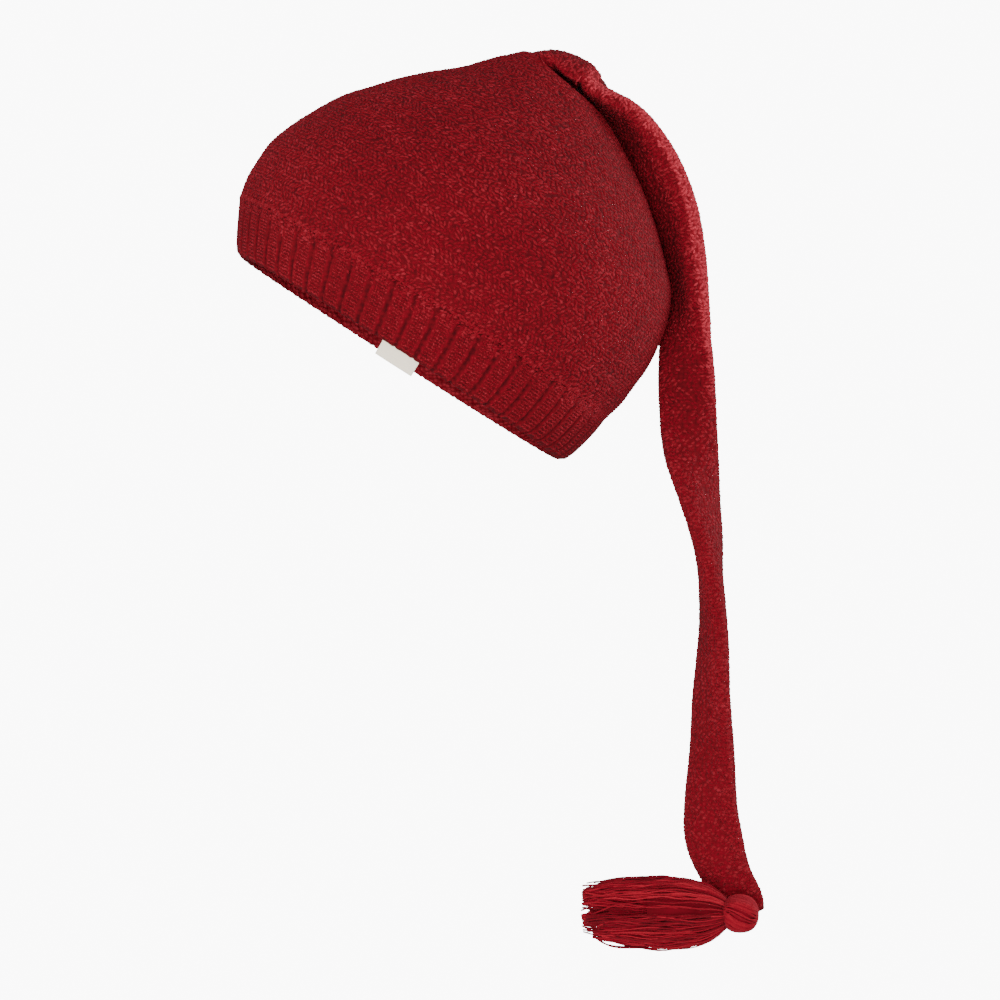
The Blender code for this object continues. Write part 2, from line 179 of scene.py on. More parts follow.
def loft(sides, sections, closed=True):
    """A skin of rings, each grown from the last, with a map of its turns and rows."""
    bm = bmesh.new()
    side_of = bm.verts.layers.int.new("side")
    row_of = bm.verts.layers.int.new("row")
    ring = bmesh.ops.create_circle(bm, segments=sides, radius=1.0)["verts"]
    for index, vert in enumerate(ring):
        vert[side_of] = index
        vert.co = sections[0][index]
    first = bm.edges[:]
    edges = first
    for row, section in enumerate(sections[1:], 1):
        grown = bmesh.ops.extrude_edge_only(bm, edges=edges)["geom"]
        fresh = {item for item in grown if isinstance(item, bmesh.types.BMVert)}
        for vert in fresh:
            vert[row_of] = row
            vert.co = section[vert[side_of]]
        edges = [
            item
            for item in grown
            if isinstance(item, bmesh.types.BMEdge) and all(v in fresh for v in item.verts)
        ]
    if closed:
        bmesh.ops.bridge_loops(bm, edges=first + edges)
    else:
        bmesh.ops.holes_fill(bm, edges=bm.edges[:], sides=0)
    chart = bm.loops.layers.uv.new("UVMap")
    for face in bm.faces:
        seam = max(v[side_of] for v in face.verts) - min(v[side_of] for v in face.verts) > sides / 2
        for corner in face.loops:
            side = corner.vert[side_of]
            side += sides if seam and side < sides / 2 else 0
            corner[chart].uv = (side / sides, corner.vert[row_of] / len(sections))
    bmesh.ops.recalc_face_normals(bm, faces=bm.faces[:])
    return bm


def shown(name, mesh, material, node):
    """A finished piece that stands for one node of the frame."""
    mesh.materials.append(material)
    mesh.shade_smooth()
    piece = bpy.data.objects.new(name, mesh)
    bpy.context.scene.collection.objects.link(piece)
    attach(piece, "root")
    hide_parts(node)
    return piece


def skin_mesh(name, bm, tones):
    """A lofted skin as a mesh, with a tone for each of its rows, or for each row and side."""
    row_of, side_of = bm.verts.layers.int["row"], bm.verts.layers.int["side"]
    tones = np.asarray(tones, float)
    tones = tones if tones.ndim == 2 else tones[:, None]
    shades = [tones[vert[row_of], vert[side_of] % tones.shape[1]] for vert in bm.verts]
    mesh = bpy.data.meshes.new(name)
    bm.to_mesh(mesh)
    bm.free()
    mesh.attributes.new("shade", "FLOAT", "POINT").data.foreach_set("value", shades)
    return mesh


def grain(long, wide, high, bow):
    """One visible bit of yarn: a small smooth grain, its ends bent down and back."""
    bm = bmesh.new()
    bmesh.ops.create_icosphere(bm, subdivisions=1, radius=0.5)
    for vert in bm.verts:
        x, y, z = vert.co
        vert.co = (x * long, y * wide - bow * 4 * x * x, z * high - high * 0.9 * x * x)
    corners = np.array([vert.co for vert in bm.verts])
    faces = np.array([[vert.index for vert in face.verts] for face in bm.faces])
    bm.free()
    return corners, faces


def lay(net, shape, places):
    """Copies of a small shape on a knit: its x goes round, its y up and its z out."""
    corners, faces = shape
    place, around, up, out = on_net(net, places["up"], places["turn"])
    turned, across = np.cos(places["tilt"])[:, None], np.sin(places["tilt"])[:, None]
    x = (around * turned + up * across) * places["long"][:, None]
    y = (up * turned - around * across) * places["wide"][:, None]
    base = place + out * places["lift"][:, None]
    spread = (
        base[:, None]
        + x[:, None] * corners[None, :, 0:1]
        + y[:, None] * corners[None, :, 1:2]
        + out[:, None] * corners[None, :, 2:3]
    )
    first = np.arange(len(base))[:, None, None] * len(corners)
    return spread.reshape(-1, 3), (faces[None] + first).reshape(-1, faces.shape[1]), np.repeat(
        places["shade"], len(corners)
    )


def joined(name, parts):
    """One mesh of all the laid copies, each with its own tone."""
    first = 0
    faces = []
    for corners, part_faces, tones in parts:
        faces += (part_faces + first).tolist()
        first += len(corners)
    mesh = bpy.data.meshes.new(name)
    mesh.from_pydata(np.concatenate([part[0] for part in parts]).tolist(), [], faces)
    tones = np.concatenate([part[2] for part in parts])
    mesh.attributes.new("shade", "FLOAT", "POINT").data.foreach_set("value", tones)
    return mesh


def wool(name, tones, purl, sheen):
    """Matt wool with a pale fuzz at grazing angles. A purl above zero adds rows of stitches by bump, and
    painted shade that darkens their hollows.
    """
    material = bpy.data.materials.new(name)
    material.use_nodes = True
    nodes, links = material.node_tree.nodes, material.node_tree.links
    shader = nodes["Principled BSDF"]
    shader.inputs["Roughness"].default_value = 0.92
    shader.inputs["Specular IOR Level"].default_value = 0.12
    shader.inputs["Sheen Weight"].default_value = sheen
    shader.inputs["Sheen Roughness"].default_value = 0.45
    shader.inputs["Sheen Tint"].default_value = (1.0, 0.22, 0.30, 1.0)
    where = nodes.new("ShaderNodeTexCoord")
    tone = nodes.new("ShaderNodeAttribute")
    tone.attribute_name = "shade"
    total = tone.outputs["Fac"]
    heights = []
    for scale, detail, weight in ((28.0, 2.0, 0.16), (330.0, 2.0, 0.16), (2600.0, 3.0, 0.20)):
        cloud = nodes.new("ShaderNodeTexNoise")
        cloud.inputs["Scale"].default_value = scale
        cloud.inputs["Detail"].default_value = detail
        links.new(where.outputs["Object"], cloud.inputs["Vector"])
        step = nodes.new("ShaderNodeMath")
        step.operation = "MULTIPLY_ADD"
        links.new(cloud.outputs["Fac"], step.inputs[0])
        step.inputs[1].default_value = weight
        links.new(total, step.inputs[2])
        centred = nodes.new("ShaderNodeMath")
        centred.operation = "SUBTRACT"
        links.new(step.outputs[0], centred.inputs[0])
        centred.inputs[1].default_value = weight / 2
        total = centred.outputs[0]
        heights.append(cloud.outputs["Fac"])
    bump = nodes.new("ShaderNodeBump")
    bump.inputs["Strength"].default_value = 0.5
    bump.inputs["Distance"].default_value = 0.0003
    links.new(heights[-1], bump.inputs["Height"])
    if purl > 0.0:
        cells = nodes.new("ShaderNodeTexVoronoi")
        cells.inputs["Scale"].default_value = purl
        cells.inputs["Randomness"].default_value = 0.55
        links.new(where.outputs["Object"], cells.inputs["Vector"])
        rows = nodes.new("ShaderNodeBump")
        rows.invert = True
        rows.inputs["Strength"].default_value = 0.9
        rows.inputs["Distance"].default_value = 0.0011
        links.new(cells.outputs["Distance"], rows.inputs["Height"])
        links.new(rows.outputs["Normal"], bump.inputs["Normal"])
        # Painted shade: the colour is darkened where the bump's cells sink.
        hollow_shade = nodes.new("ShaderNodeMath")
        hollow_shade.operation = "MULTIPLY_ADD"
        links.new(cells.outputs["Distance"], hollow_shade.inputs[0])
        hollow_shade.inputs[1].default_value = -0.45
        links.new(total, hollow_shade.inputs[2])
        total = hollow_shade.outputs[0]
    colours = nodes.new("ShaderNodeValToRGB")
    colours.color_ramp.elements.new(0.5)
    for element, (position, colour) in zip(colours.color_ramp.elements, tones):
        element.position = position
        element.color = (*colour, 1.0)
    links.new(total, colours.inputs["Fac"])
    links.new(colours.outputs["Color"], shader.inputs["Base Color"])
    links.new(bump.outputs["Normal"], shader.inputs["Normal"])
    return material


dice = np.random.default_rng(5)
stitch_wool = wool("stitch_wool", WOOL_TONES, 0.0, 0.05)
skin_wool = wool("skin_wool", WOOL_TONES, 430.0, 0.0)

band_sides = RIB_COUNT * len(RIB_PROFILE)
band_net = knit_net(band_ring, 12, band_sides)
band_sections, band_tones = [], []
rib_wave = np.tile(RIB_PROFILE, RIB_COUNT)
rib_tops = np.repeat(0.66 + 0.22 * dice.random(RIB_COUNT), len(RIB_PROFILE))
for row in BAND_SKIN:
    place, around, up, out = on_net(
        band_net, np.full(band_sides, row["up"]), np.arange(band_sides) / band_sides
    )
    outside = row["deep"] < 0.002
    fade = 1.0 - 0.75 * ramp(row["up"], rib_tops, rib_tops + 0.25)
    groove = rib_wave * RIB_RELIEF * (0.70 * fade if outside else -0.3 * (rib_wave > 0))
    level = unit(out - np.outer(out @ UP, UP)) if row["up"] > 0.99 else out
    top = UP * (JOIN_GAP if row["up"] > 0.99 else 0.0)
    band_sections.append(place - level * (row["deep"] + groove)[:, None] - top)
    # Painted light on the ribs: the ridges are made paler as a painted highlight and the grooves darker as
    # painted shade, fading out up the band.
    ridge_highlight_groove_shade = 0.15 * np.maximum(rib_wave, 0) + 0.28 * np.minimum(rib_wave, 0)
    band_tones.append(SKIN_PAINTED_SHADE_TONE - ridge_highlight_groove_shade * fade if outside else np.full(band_sides, INSIDE_PAINTED_LIGHT_TONE))
band_skin = skin_mesh("ribbed_band_skin", loft(band_sides, band_sections), band_tones)
shown("ribbed_band_skin", band_skin, skin_wool, "ribbed_band")

band_parts = []
rib_number, course = np.meshgrid(np.arange(RIB_COUNT), np.arange(BAND_COURSES), indexing="ij")
rib_number, course = rib_number.ravel(), course.ravel()
rib_stitch = grain(0.0018, 0.0010, 0.0007, 0.0)
for part in RIB_STITCHES:
    count = len(course)
    band_parts.append(
        lay(
            band_net,
            rib_stitch,
            {
                "up": np.clip((course + 0.5 + 0.1 * dice.normal(size=count)) / BAND_COURSES, 0.075, 0.98),
                "turn": (rib_number + part["across"] + 0.010 * dice.normal(size=count)) / RIB_COUNT,
                "tilt": np.radians(part["tilt"] + 7.0 * dice.normal(size=count)),
                "long": 1.0 + 0.08 * dice.normal(size=count),
                "wide": 1.0 + 0.08 * dice.normal(size=count),
                "lift": -0.00062 + 0.00004 * dice.normal(size=count),
                "shade": STITCH_TONE + 0.05 * dice.normal(size=count),
            },
        )
    )
shown("ribbed_band_stitches", joined("ribbed_band_stitches", band_parts), stitch_wool, "ribbed_band")


# Crown: one wool tube knitted on from the band in an uneven seed stitch, full round the head.
# It narrows to a gathered neck behind the top, where the tail is knitted on.
# The rows of bumps slant one way and then the other, and dark holes show between them, darkened by painted
# shade on the skin beneath.
CROWN_HEIGHT = 0.1370
CROWN_WALL = 0.0028
GATHER_COUNT = 8
GATHER_DEPTH = 0.0016
GATHER_START = 0.55
GATHER_FULL = 0.90
CROWN_SIDES = 192
CROWN_OUTER_RINGS = 56
CROWN_INNER_RINGS = 30
JOIN_COUNT = 620
COURSE_PITCH = 0.0018
STITCH_PITCH = 0.00222
CROWN_ROWS = (
    {"up": 0.000, "front": 1.12, "back": 1.05, "side": 1.10, "lean": 0},
    {"up": 0.075, "front": 1.14, "back": 1.08, "side": 1.13, "lean": 0},
    {"up": 0.150, "front": 1.14, "back": 1.09, "side": 1.14, "lean": 0},
    {"up": 0.235, "front": 1.13, "back": 1.10, "side": 1.13, "lean": 0},
    {"up": 0.335, "front": 1.08, "back": 1.09, "side": 1.10, "lean": 0},
    {"up": 0.435, "front": 1.01, "back": 1.06, "side": 1.04, "lean": 0},
    {"up": 0.520, "front": 0.94, "back": 1.01, "side": 0.96, "lean": 0},
    {"up": 0.595, "front": 0.85, "back": 0.92, "side": 0.88, "lean": 0},
    {"up": 0.670, "front": 0.76, "back": 0.82, "side": 0.78, "lean": 0},
    {"up": 0.755, "front": 0.64, "back": 0.69, "side": 0.66, "lean": 0},
    {"up": 0.835, "front": 0.51, "back": 0.54, "side": 0.53, "lean": 0},
    {"up": 0.895, "front": 0.43, "back": 0.42, "side": 0.42, "lean": 1},
    {"up": 0.945, "front": 0.36, "back": 0.30, "side": 0.33, "lean": 2},
    {"up": 0.980, "front": 0.30, "back": 0.17, "side": 0.25, "lean": 5},
    {"up": 1.000, "front": 0.25, "back": -0.07, "side": 0.19, "lean": 16},
)


def crown_ring(share, angles):
    """The crown's outside, with gathers that grow towards the neck."""
    row = blend_rows(CROWN_ROWS, "up", share)
    rise = BAND_HEIGHT + share * CROWN_HEIGHT
    ring = oval_ring(row, rise, angles)
    middle = oval_ring(row, rise, np.array([0.0, math.pi])).mean(axis=0)
    grown = ramp(share, GATHER_START, GATHER_FULL) - ramp(share, GATHER_FULL, 1.0)
    wave = 0.5 + 0.5 * np.cos(GATHER_COUNT * angles + np.sin(2 * angles))
    return ring + unit(middle - ring) * (GATHER_DEPTH * grown * wave)[:, None]


def wall_sections(net, sides, ups, deep, level_ends):
    """Rings of a wall at these heights, this deep under the outside, level at its cut ends."""
    sections = []
    for up in ups:
        place, around, ahead, out = on_net(net, np.full(sides, up), np.arange(sides) / sides)
        if level_ends and up in (0.0, 1.0):
            axis = unit(np.cross(place[sides // 4] - place[0], place[sides // 2] - place[0]))
            out = unit(out - np.outer(out @ axis, axis))
        sections.append(place - out * deep)
    return sections


def seed_places(net, pitch_up, pitch_round, lowest, highest, row_length, rand):
    """Where the seed stitches sit: courses up the knit, each with as many as its round holds."""
    ups, turns, tilts = [], [], []
    points = net["points"]
    length = np.linalg.norm(np.diff(points, axis=0), axis=2).mean(axis=1)
    gone = np.concatenate(([0.0], np.cumsum(length))) / length.sum()
    even = np.linspace(0, 1, len(gone))
    courses = int(length.sum() / pitch_up)
    for course in range(courses):
        up = float(np.interp((course + 0.5) / courses, gone, even))
        if not lowest <= up <= highest:
            continue
        ring = points[int(round(up * (len(points) - 1)))]
        girth = np.linalg.norm(np.roll(ring, -1, axis=0) - ring, axis=1).sum()
        count = max(int(girth / pitch_round), 6)
        turn = (np.arange(count) + 0.5 * (course % 2)) / count
        slant = math.sin(2 * math.pi * course / row_length) * 0.70
        ups.append(up + rand.normal(size=count) * 0.20 / courses)
        turns.append(turn + rand.normal(size=count) * 0.16 / count)
        tilts.append(np.full(count, slant) + rand.normal(size=count) * 0.34)
    return np.concatenate(ups), np.concatenate(turns), np.concatenate(tilts)


def seed_stitches(net, shape, found, picked, lift, tone, spread, rand):
    """The picked stitches laid on a knit, each a little longer, wider, deeper or paler than the next."""
    ups, turns, tilts = (values[picked] for values in found)
    count = len(ups)
    return lay(
        net,
        shape,
        {
            "up": ups,
            "turn": turns,
            "tilt": tilts,
            "long": 1.0 + 0.16 * rand.normal(size=count),
            "wide": 1.0 + 0.14 * rand.normal(size=count),
            "lift": lift + 0.00006 * rand.normal(size=count),
            "shade": tone + spread * rand.normal(size=count),
        },
    )


crown_net = knit_net(crown_ring, 90, CROWN_SIDES)
crown_outer = wall_sections(crown_net, CROWN_SIDES, np.linspace(0, 1, CROWN_OUTER_RINGS), SKIN_DEPTH, True)
crown_inner = wall_sections(crown_net, CROWN_SIDES, np.linspace(1, 0, CROWN_INNER_RINGS), CROWN_WALL, True)
crown_outer[0] = crown_outer[0] + UP * JOIN_GAP
crown_inner[-1] = crown_inner[-1] + UP * JOIN_GAP
# The crown's outer skin is darker than its stitches, painted shade between them; its inner skin is paler,
# painted light that lifts the shade inside the hat.
crown_tones = [0.46] * CROWN_OUTER_RINGS + [0.66] * CROWN_INNER_RINGS
crown_skin = skin_mesh("crown_skin", loft(CROWN_SIDES, crown_outer + crown_inner), crown_tones)
shown("crown_skin", crown_skin, skin_wool, "crown")

seed = grain(0.0031, 0.0015, 0.0008, 0.0004)
crown_found = seed_places(crown_net, COURSE_PITCH, STITCH_PITCH, 0.0, 1.0, 7.0, dice)
kept = dice.random(len(crown_found[0])) < 0.97
near_side = np.mod(crown_found[1], 1.0) > 0.5
for name, half in (("crown_stitches_near", near_side), ("crown_stitches_far", ~near_side)):
    laid = seed_stitches(crown_net, seed, crown_found, kept & half, STITCH_LIFT, 0.5, 0.045, dice)
    shown(name, joined(name, [laid]), stitch_wool, "crown")

first_found = seed_places(band_net, COURSE_PITCH, STITCH_PITCH, 0.55, 0.99, 7.0, dice)
kept = dice.random(len(first_found[0])) < ramp(first_found[0], 0.66, 0.98)
first_laid = seed_stitches(band_net, seed, first_found, kept, STITCH_LIFT, 0.5, 0.06, dice)
join_turns = (np.arange(JOIN_COUNT) + 0.3 * dice.normal(size=JOIN_COUNT)) / JOIN_COUNT
join_places = {
    "up": 0.012 * dice.random(JOIN_COUNT),
    "turn": join_turns,
    "tilt": 0.8 + 0.5 * dice.normal(size=JOIN_COUNT),
    "long": np.ones(JOIN_COUNT),
    "wide": np.ones(JOIN_COUNT),
    "lift": np.full(JOIN_COUNT, -0.00045),
    "shade": 0.5 + 0.045 * dice.normal(size=JOIN_COUNT),
}
joining = [first_laid, lay(crown_net, seed, join_places)]
shown("first_crown_stitches", joined("first_crown_stitches", joining), stitch_wool, "ribbed_band")


# Tail: a flattened wool tube knitted on at the crown's neck, folded down behind the crown.
# Its stitches grow flatter and smoother down its length, and it twists as it hangs free.
TAIL_WIDTH = 0.030
TAIL_THICKNESS = 0.0125
TAIL_WALL = 0.0026
TAIL_DROP = 0.282
TAIL_SWAY = 0.0265
FOLD_REACH = 0.026
LYING_GAP = 0.0014
SOFT_HUG = 0.12
LOWER_HUG = 0.10
PRESSED = 0.0018
FOLD_LIFT = 0.0016
TAIL_SQUARENESS = 0.80
TAIL_SIDES = 48
TAIL_INNER_RINGS = 40
NECK_GAP = 0.0003
FOLD_ROWS = (
    {"back": 0.00, "up": 0.00, "wide": 1.00, "thick": 1.26, "turn": 90, "hug": 0.00},
    {"back": 0.19, "up": 0.21, "wide": 1.05, "thick": 0.92, "turn": 90, "hug": 0.12},
    {"back": 0.53, "up": 0.275, "wide": 1.08, "thick": 1.04, "turn": 90, "hug": 0.28},
    {"back": 0.96, "up": 0.245, "wide": 1.08, "thick": 1.08, "turn": 90, "hug": 0.20},
)
LYING_ROWS = (
    {"at": 0.985, "wide": 1.08, "thick": 0.86, "turn": 90, "hug": 0.12},
    {"at": 0.940, "wide": 1.03, "thick": 1.00, "turn": 70, "hug": 0.12},
    {"at": 0.885, "wide": 0.98, "thick": 1.13, "turn": 55, "hug": 0.22},
    {"at": 0.810, "wide": 0.97, "thick": 1.21, "turn": 46, "hug": 0.18},
    {"at": 0.720, "wide": 0.96, "thick": 1.23, "turn": 48, "hug": 0.16},
    {"at": 0.610, "wide": 0.95, "thick": 1.24, "turn": 57, "hug": 0.15},
    {"at": 0.520, "wide": 0.94, "thick": 1.15, "turn": 60, "hug": 0.14},
    {"at": 0.440, "wide": 0.96, "thick": 1.10, "turn": 48, "hug": 0.12},
    {"at": 0.365, "wide": 0.98, "thick": 1.04, "turn": 30, "hug": 0.08},
)
HANGING_ROWS = (
    {"down": 0.085, "out": -0.05, "wide": 1.00, "thick": 1.00, "turn": 2},
    {"down": 0.175, "out": 0.01, "wide": 1.00, "thick": 1.00, "turn": -14},
    {"down": 0.264, "out": 0.18, "wide": 0.96, "thick": 1.00, "turn": -44},
    {"down": 0.345, "out": 0.34, "wide": 0.92, "thick": 1.08, "turn": -66},
    {"down": 0.414, "out": 0.40, "wide": 0.93, "thick": 1.10, "turn": -86},
    {"down": 0.510, "out": 0.45, "wide": 0.94, "thick": 1.00, "turn": -104},
    {"down": 0.630, "out": 0.41, "wide": 0.96, "thick": 1.00, "turn": -119},
    {"down": 0.725, "out": 0.42, "wide": 0.96, "thick": 1.00, "turn": -132},
    {"down": 0.828, "out": 0.40, "wide": 1.01, "thick": 0.98, "turn": -148},
    {"down": 0.888, "out": 0.47, "wide": 1.02, "thick": 0.92, "turn": -162},
    {"down": 0.950, "out": 0.71, "wide": 0.87, "thick": 0.80, "turn": -167},
    {"down": 1.000, "out": 1.02, "wide": 0.76, "thick": 0.62, "turn": -170},
    {"down": 1.022, "out": 1.14, "wide": 0.58, "thick": 0.44, "turn": -172},
)


def flat_oval(angles, half_wide, half_thick):
    """The flattened tube's section: an oval with squarer shoulders."""
    c, s = np.cos(angles), np.sin(angles)
    return (
        np.sign(c) * np.abs(c) ** TAIL_SQUARENESS * half_wide,
        np.sign(s) * np.abs(s) ** TAIL_SQUARENESS * half_thick,
    )


def tail_route():
    """The tail's rows with a place each, from the neck to the tip."""
    top = CROWN_ROWS[-1]
    lean = math.radians(top["lean"])
    neck_axis = UP * math.cos(lean) + BACK * math.sin(lean)
    ends = oval_ring(top, BAND_HEIGHT + CROWN_HEIGHT, np.array([0.0, math.pi]))
    neck = ends.mean(axis=0) + neck_axis * NECK_GAP
    route = []
    for row in FOLD_ROWS:
        place = neck + BACK * (row["back"] * FOLD_REACH) + UP * (row["up"] * FOLD_REACH)
        route.append(dict(row, place=place))
    round_angles = np.linspace(0, 2 * math.pi, 20, endpoint=False)
    for row in LYING_ROWS:
        foot, around, ahead, out = on_net(crown_net, np.array([row["at"]]), np.array([0.0]))
        across, through = flat_oval(
            round_angles, row["wide"] * TAIL_WIDTH / 2, row["thick"] * TAIL_THICKNESS / 2
        )
        turn = math.radians(row["turn"])
        depth = (across * math.cos(turn) - through * math.sin(turn)).max()
        gap = LYING_GAP - PRESSED * (0.5 + 0.5 * ramp(row["at"], 0.66, 0.50))
        gap += FOLD_LIFT * ramp(row["at"], 0.80, 0.94)
        route.append(dict(row, place=foot[0] + out[0] * (depth + gap)))
    leave = route[-1]["place"] + out[0] * PRESSED
    for row in HANGING_ROWS:
        drop = np.array([row["out"] * TAIL_SWAY, 0.0, -row["down"] * TAIL_DROP])
        route.append(dict(row, place=leave + drop))
    gone = [0.0]
    for before, after in zip(route, route[1:]):
        gone.append(gone[-1] + float(np.linalg.norm(after["place"] - before["place"])))
    rows = []
    for distance, row in zip(gone, route):
        station = {key: row[key] for key in ("wide", "thick", "turn")}
        soft = SOFT_HUG * (row.get("hug", 0.0) > 0) + LOWER_HUG * ramp(row.get("at", 1.0), 0.95, 0.80)
        station["hug"] = row.get("hug", 0.0) + soft
        rows.append(dict(station, gone=distance / gone[-1], x=row["place"][0], z=row["place"][2]))
    return rows, neck_axis


tail_rows, tail_start = tail_route()


def tail_ring(share, angles):
    """The tail's outside at this share of its length, turned about its route."""
    row = blend_rows(tail_rows, "gone", share)
    low = blend_rows(tail_rows, "gone", max(share - 0.002, 0.0))
    high = blend_rows(tail_rows, "gone", min(share + 0.002, 1.0))
    ahead = unit(np.array([high["x"] - low["x"], 0.0, high["z"] - low["z"]]))
    start = max(1.0 - share / 0.012, 0.0)
    ahead = unit(ahead * (1.0 - start) + tail_start * start)
    flat = np.cross(SIDE, ahead)
    turn = math.radians(row["turn"])
    wide_axis = flat * math.cos(turn) + SIDE * math.sin(turn)
    across, through = flat_oval(
        angles, row["wide"] * TAIL_WIDTH / 2, row["thick"] * TAIL_THICKNESS / 2
    )
    place = np.array([row["x"], 0.0, row["z"]])
    ring = place + np.outer(across, wide_axis) + np.outer(through, np.cross(ahead, wide_axis))
    hug = row["hug"] * TAIL_THICKNESS * (ring[:, 1] / (TAIL_WIDTH / 2)) ** 2
    return ring + np.outer(hug, flat)


tail_net = knit_net(tail_ring, 220, TAIL_SIDES)
tail_skin_shares = np.concatenate((np.linspace(0, 0.98, 150), np.linspace(0.984, 1.0, 8)))
tail_outer = wall_sections(tail_net, TAIL_SIDES, tail_skin_shares, 0.0005, True)
tail_inner = wall_sections(tail_net, TAIL_SIDES, np.linspace(0.9, 0, TAIL_INNER_RINGS), TAIL_WALL, True)
tail_found = seed_places(tail_net, COURSE_PITCH, STITCH_PITCH, 0.0, 1.0, 9.0, dice)
lower = ramp(tail_found[0], 0.42, 0.54)
smoother = dice.random(len(lower)) < lower
kept = dice.random(len(lower)) < 0.95
flat_seed = grain(0.0029, 0.0020, 0.0005, 0.0001)
# Dark flat grains laid on the lower tail are painted shade that stands for the gaps between its stitches.
painted_hole_shade = grain(0.0013, 0.0008, 0.0005, 0.0001)


def painted_edge_light_and_shade(net, ups, turns, rand):
    """The lying stretch's tone with painted light: a painted highlight along its outer edge, and painted
    shade in the crease where it meets the crown.
    """
    place, around, ahead, out = on_net(net, ups, turns)
    ragged = 0.32 + 0.06 * rand.normal(size=len(ups)) + 0.06 * np.sin(ups * 260)
    facing = out @ np.array([0.97, -0.10, 0.22])
    # Painted highlight: stitches that face the light from the right behind, on the near side only, are made
    # paler.
    pale = ramp(facing, ragged, ragged + 0.10) * ramp(ups, 0.045, 0.065) * ramp(ups, 0.46, 0.36)
    pale *= ramp(-place[:, 1], -0.004, 0.003)
    # Painted shade: stitches that face the crown, in the crease, are made darker.
    return 0.34 * pale - 0.18 * ramp(-facing, 0.70, 0.98) * ramp(ups, 0.40, 0.34)


side_turns = np.arange(TAIL_SIDES) / TAIL_SIDES
tail_tones = [np.full(TAIL_SIDES, 0.5)] * TAIL_INNER_RINGS
# The tail's skin carries the painted highlight on its outer edge and the painted shade in its crease.
for share in tail_skin_shares:
    light_and_shade_paint = painted_edge_light_and_shade(tail_net, np.full(TAIL_SIDES, share), side_turns, dice)
    tail_tones.append(SKIN_PAINTED_SHADE_TONE + 0.12 * ramp(share, 0.42, 0.56) + light_and_shade_paint)
tail_skin = skin_mesh("tail_skin", loft(TAIL_SIDES, tail_inner + tail_outer, closed=False), tail_tones)
shown("tail_skin", tail_skin, skin_wool, "tail")
# The tail's stitches carry the same painted highlight and painted crease shade.
light_and_shade_paint = painted_edge_light_and_shade(tail_net, tail_found[0], tail_found[1], dice)
fine, plain = kept & ~smoother, kept & smoother
# Places for the painted shade of the gaps, among the smoother stitches.
painted_hole_places = smoother & (dice.random(len(lower)) < 0.16)
tail_parts = [
    seed_stitches(tail_net, seed, tail_found, fine, STITCH_LIFT, STITCH_TONE + light_and_shade_paint[fine], 0.05, dice),
    seed_stitches(tail_net, flat_seed, tail_found, plain, -0.0005, STITCH_TONE + light_and_shade_paint[plain], 0.03, dice),
    seed_stitches(tail_net, painted_hole_shade, tail_found, painted_hole_places, -0.0003, 0.16, 0.05, dice),
]
shown("tail_stitches", joined("tail_stitches", tail_parts), stitch_wool, "tail")


# Tassel: a bundle of soft wool yarn folded over the tail's tip and pinched, so it has a round head.
# Its cut strands fan out to the front, most of them in locks, with a few loose ones above and ragged ends.
HEAD_WIDTH = 0.0178
HEAD_HEIGHT = 0.0198
FRINGE_LENGTH = 0.074
FRINGE_HEIGHT = 0.036
FRINGE_DEPTH = 0.024
BALL_FORWARD = 0.33
BALL_ABOVE = 0.14
BALL_PRESSED = 0.0006
BALL_SQUARENESS = 0.86
STRAND_THICKNESS = 0.0008
STRAND_COUNT = 800
LOCK_COUNT = 40
LOOSE_COUNT = 6
STRAND_STEPS = 16
WRAP_COUNT = 190
CORE_SIDES = 24
GOLDEN_TURN = 2.399963
STRAND_ROWS = (
    {"out": 0.00, "spread": 0.40},
    {"out": 0.06, "spread": 0.60},
    {"out": 0.16, "spread": 0.82},
    {"out": 0.32, "spread": 0.96},
    {"out": 0.55, "spread": 1.00},
    {"out": 0.80, "spread": 0.90},
    {"out": 1.00, "spread": 0.80},
)
YARN_TONES = ((0.0, (0.034, 0.0003, 0.0020)), (0.5, (0.148, 0.0014, 0.0072)), (1.0, (0.317, 0.0083, 0.0193)))
yarn_wool = wool("yarn_wool", YARN_TONES, 0.0, 0.08)
tip = tail_rows[-1]
ball_front = tip["thick"] * TAIL_THICKNESS / 2 + NECK_GAP + HEAD_WIDTH / 2 - BALL_PRESSED
ball_middle = np.array(
    [tip["x"] - BALL_FORWARD * HEAD_WIDTH, -ball_front, tip["z"] + BALL_ABOVE * HEAD_HEIGHT]
)


def strand_shape(sides, steps):
    """A straight strand to bend: rings one apart along x, closed flat at both ends."""
    rings = [[(0.0, 0.0, 0.0)] * sides]
    for step in range(steps):
        for_turn = [2 * math.pi * side / sides for side in range(sides)]
        rings.append([(float(step), math.cos(turn), math.sin(turn)) for turn in for_turn])
    bm = loft(sides, rings[1:], closed=False)
    corners = np.array([vert.co for vert in bm.verts])
    faces = [[vert.index for vert in face.verts] for face in bm.faces]
    bm.free()
    return corners, faces


def strands(name, routes, radii, tones, sides):
    """One mesh of many strands, each bent along its own route of the same number of points."""
    corners, faces = strand_shape(sides, routes.shape[1])
    ahead = unit(np.gradient(routes, axis=1))
    across = unit(np.cross(ahead, np.array([0.12, 0.98, 0.16])))
    beside = np.cross(ahead, across)
    step = corners[:, 0].round().astype(int)
    body = (
        routes[:, step]
        + across[:, step] * (corners[:, 1] * radii[:, None])[..., None]
        + beside[:, step] * (corners[:, 2] * radii[:, None])[..., None]
    )
    every = []
    for number in range(len(routes)):
        every += [[corner + number * len(corners) for corner in face] for face in faces]
    mesh = bpy.data.meshes.new(name)
    mesh.from_pydata(body.reshape(-1, 3).tolist(), [], every)
    tones = np.repeat(tones, len(corners))
    mesh.attributes.new("shade", "FLOAT", "POINT").data.foreach_set("value", tones)
    return mesh


